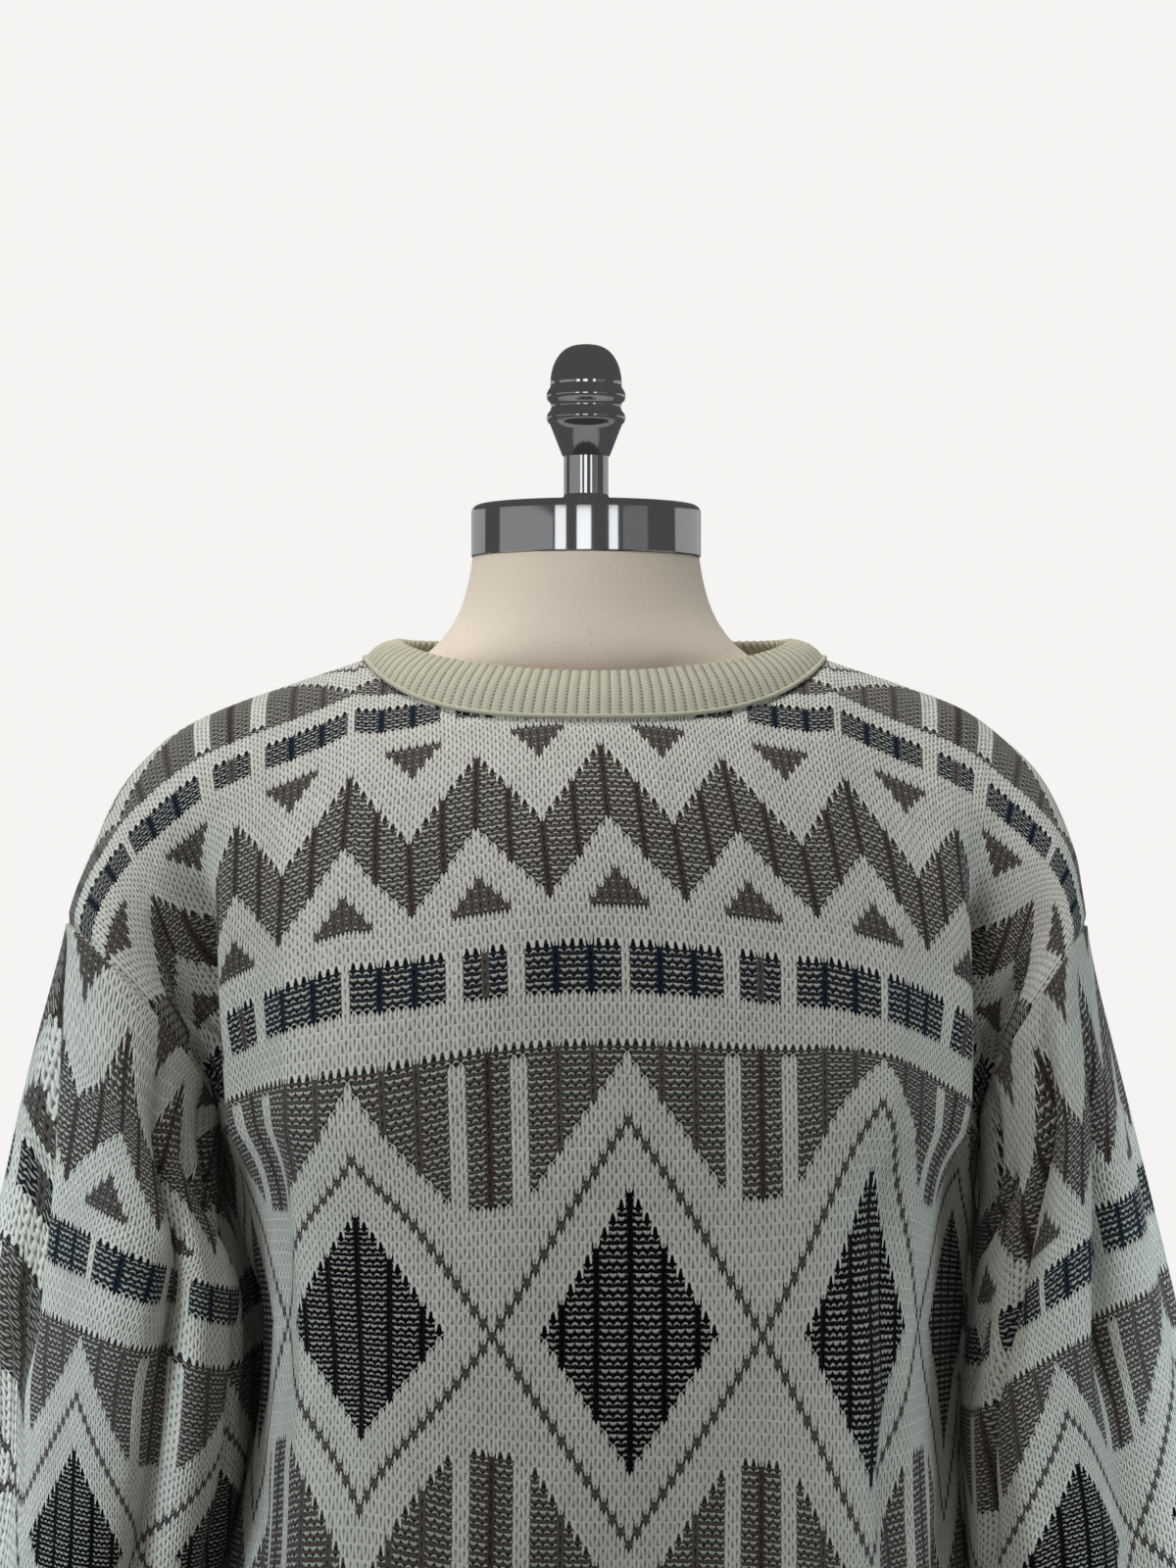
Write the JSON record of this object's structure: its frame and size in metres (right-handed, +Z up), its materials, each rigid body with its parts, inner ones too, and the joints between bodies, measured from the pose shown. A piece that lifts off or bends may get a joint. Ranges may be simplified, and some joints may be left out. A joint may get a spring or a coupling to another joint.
{
  "type": "pullover sweater on a limbless dress form and counter stand",
  "caption": "Oversized drop-shoulder crew-neck jacquard pullover worn by a limbless linen dress form on a short counter stand.",
  "frame": {"origin": "centre of the stand base's underside, on the surface that it stands on", "axes": "+Z up along the pole; the chest faces -Y; the wearer's left is +X"},
  "size_m": [0.6205, 0.28, 0.901],
  "materials": {
    "jacquard_knit": "soft wool-blend jacquard knit, cream ground with taupe, navy and black stitches",
    "rib_knit": "soft 1x1 rib in ivory yarn",
    "linen": "plain beige linen twill stretched over the form",
    "polished_chrome": "mirror-polished chrome plate"
  },
  "bodies": {
    "root": {"front": "jacquard_knit", "back": "jacquard_knit", "sleeve_right": "jacquard_knit", "sleeve_left": "jacquard_knit", "neckband": "rib_knit", "hem_front": "rib_knit", "hem_back": "rib_knit", "cuff_right": "rib_knit", "cuff_left": "rib_knit", "form_torso": "linen", "neck_cap": "polished_chrome", "finial_stem": "polished_chrome", "finial_knob": "polished_chrome", "pole_collar": "polished_chrome", "stand_pole": "polished_chrome", "stand_base": "polished_chrome"}
  },
  "joints": []
}
